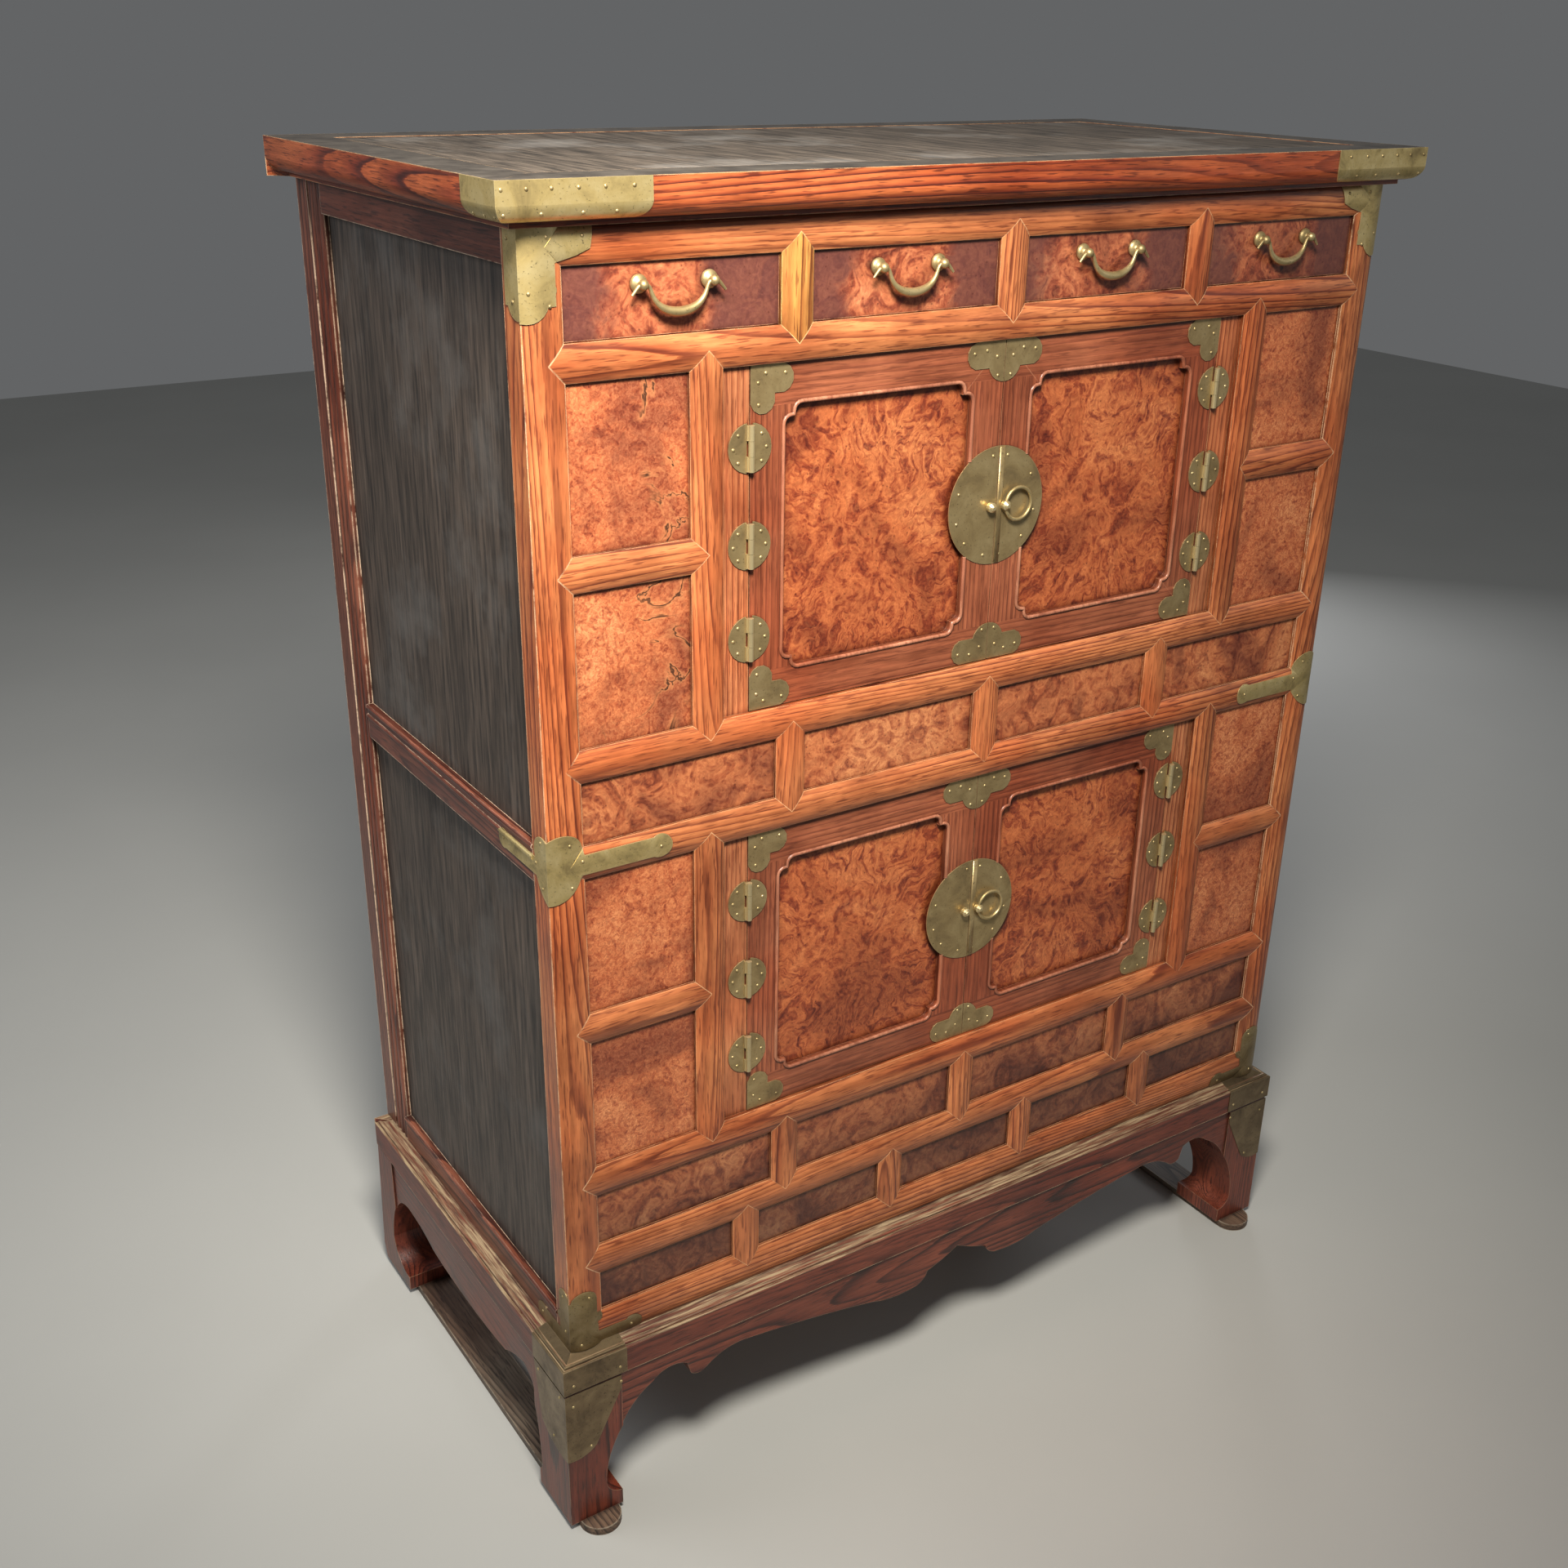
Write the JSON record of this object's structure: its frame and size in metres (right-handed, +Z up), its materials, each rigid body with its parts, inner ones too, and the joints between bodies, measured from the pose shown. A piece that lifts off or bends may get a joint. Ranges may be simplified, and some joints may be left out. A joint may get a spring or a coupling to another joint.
{
  "type": "two tier chest",
  "caption": "Two tier cabinet with a row of drawers on top, a pair of hinged doors in each tier, pillowed mitred framing, brass fittings and a stand with arched aprons.",
  "frame": {"origin": "middle of the footprint, on the floor", "axes": "+X to the right of someone who faces the doors, +Y from the front to the back, +Z up"},
  "size_m": [1.0156, 0.5438, 1.317],
  "materials": {
    "frame_wood": "oiled zelkova, satin, worn on the arrises",
    "burl_panel": "oiled burl veneer-like figure, satin",
    "door_wood": "smooth oiled frame wood, satin",
    "door_burl": "flame burl, satin",
    "drawer_wood": "burl drawer front, satin",
    "dark_board": "smoke-dark softwood board, dull",
    "inner_wood": "raw paulownia, dull",
    "stand_wood": "dark oiled wood, satin, worn",
    "aged_brass": "aged sheet brass with patina",
    "bright_brass": "handled brass, polished by use"
  },
  "bodies": {
    "chest": {"front_posts": "frame_wood", "rear_posts": "frame_wood", "top_rail": "frame_wood", "drawer_rail": "frame_wood", "tier_rail": "frame_wood", "bottom_rail": "frame_wood", "sill_rails": "frame_wood", "door_stiles": "frame_wood", "wing_muntins": "frame_wood", "drawer_muntins": "frame_wood", "band_muntins": "frame_wood", "door_jambs": "frame_wood", "wing_panels": "burl_panel", "band_panels": "burl_panel", "side_rails": "frame_wood", "side_boards": "dark_board", "back_rails": "dark_board", "back_boards": "dark_board", "inner_floors": "inner_wood", "drawer_guides": "inner_wood", "top_frame": "frame_wood", "top_boards": "dark_board", "stand_frame": "stand_wood", "stand_aprons": "stand_wood", "stand_legs": "stand_wood", "stand_runners": "stand_wood", "top_corner_brass": "aged_brass", "post_brass": "aged_brass", "stand_brass": "aged_brass", "hinge_leaves": "aged_brass"},
    "drawer_1": {"drawer_1_front": "drawer_wood", "drawer_1_box": "inner_wood", "drawer_1_posts": "aged_brass"},
    "bail_1": {"drawer_1_bail": "bright_brass"},
    "drawer_2": {"drawer_2_front": "drawer_wood", "drawer_2_box": "inner_wood", "drawer_2_posts": "aged_brass"},
    "bail_2": {"drawer_2_bail": "bright_brass"},
    "drawer_3": {"drawer_3_front": "drawer_wood", "drawer_3_box": "inner_wood", "drawer_3_posts": "aged_brass"},
    "bail_3": {"drawer_3_bail": "bright_brass"},
    "drawer_4": {"drawer_4_front": "drawer_wood", "drawer_4_box": "inner_wood", "drawer_4_posts": "aged_brass"},
    "bail_4": {"drawer_4_bail": "bright_brass"},
    "lower_left_door": {"lower_left_door_frame": "door_wood", "lower_left_door_panel": "door_burl", "lower_left_door_brass": "aged_brass"},
    "lower_right_door": {"lower_right_door_frame": "door_wood", "lower_right_door_panel": "door_burl", "lower_right_door_brass": "aged_brass"},
    "lower_ring": {"lower_ring": "bright_brass"},
    "upper_left_door": {"upper_left_door_frame": "door_wood", "upper_left_door_panel": "door_burl", "upper_left_door_brass": "aged_brass"},
    "upper_right_door": {"upper_right_door_frame": "door_wood", "upper_right_door_panel": "door_burl", "upper_right_door_brass": "aged_brass"},
    "upper_ring": {"upper_ring": "bright_brass"}
  },
  "joints": [
    {"name": "drawer_1_slide", "type": "slide", "parent": "chest", "child": "drawer_1", "axis": [0, -1, 0], "range_m": [0, 0.32]},
    {"name": "bail_1_swing", "type": "hinge", "parent": "drawer_1", "child": "bail_1", "pos_m": [-0.34526, -0.24, 1.235], "axis": [-1, 0, 0], "range_deg": [0, 150]},
    {"name": "drawer_2_slide", "type": "slide", "parent": "chest", "child": "drawer_2", "axis": [0, -1, 0], "range_m": [0, 0.32]},
    {"name": "bail_2_swing", "type": "hinge", "parent": "drawer_2", "child": "bail_2", "pos_m": [-0.11509, -0.24, 1.235], "axis": [-1, 0, 0], "range_deg": [0, 150]},
    {"name": "drawer_3_slide", "type": "slide", "parent": "chest", "child": "drawer_3", "axis": [0, -1, 0], "range_m": [0, 0.32]},
    {"name": "bail_3_swing", "type": "hinge", "parent": "drawer_3", "child": "bail_3", "pos_m": [0.11509, -0.24, 1.235], "axis": [-1, 0, 0], "range_deg": [0, 150]},
    {"name": "drawer_4_slide", "type": "slide", "parent": "chest", "child": "drawer_4", "axis": [0, -1, 0], "range_m": [0, 0.32]},
    {"name": "bail_4_swing", "type": "hinge", "parent": "drawer_4", "child": "bail_4", "pos_m": [0.34526, -0.24, 1.235], "axis": [-1, 0, 0], "range_deg": [0, 150]},
    {"name": "lower_left_door_hinge", "type": "hinge", "parent": "chest", "child": "lower_left_door", "pos_m": [-0.2737, -0.2335, 0.58145], "axis": [0, 0, -1], "range_deg": [0, 165]},
    {"name": "lower_right_door_hinge", "type": "hinge", "parent": "chest", "child": "lower_right_door", "pos_m": [0.2737, -0.2335, 0.58145], "axis": [0, 0, 1], "range_deg": [0, 165]},
    {"name": "lower_ring_swing", "type": "hinge", "parent": "lower_right_door", "child": "lower_ring", "pos_m": [0.0087, -0.2349, 0.58145], "axis": [0, 0, -1], "range_deg": [0, 178]},
    {"name": "upper_left_door_hinge", "type": "hinge", "parent": "chest", "child": "upper_left_door", "pos_m": [-0.2737, -0.2335, 1.01035], "axis": [0, 0, -1], "range_deg": [0, 165]},
    {"name": "upper_right_door_hinge", "type": "hinge", "parent": "chest", "child": "upper_right_door", "pos_m": [0.2737, -0.2335, 1.01035], "axis": [0, 0, 1], "range_deg": [0, 165]},
    {"name": "upper_ring_swing", "type": "hinge", "parent": "upper_right_door", "child": "upper_ring", "pos_m": [0.0087, -0.2349, 1.01035], "axis": [0, 0, -1], "range_deg": [0, 178]}
  ]
}
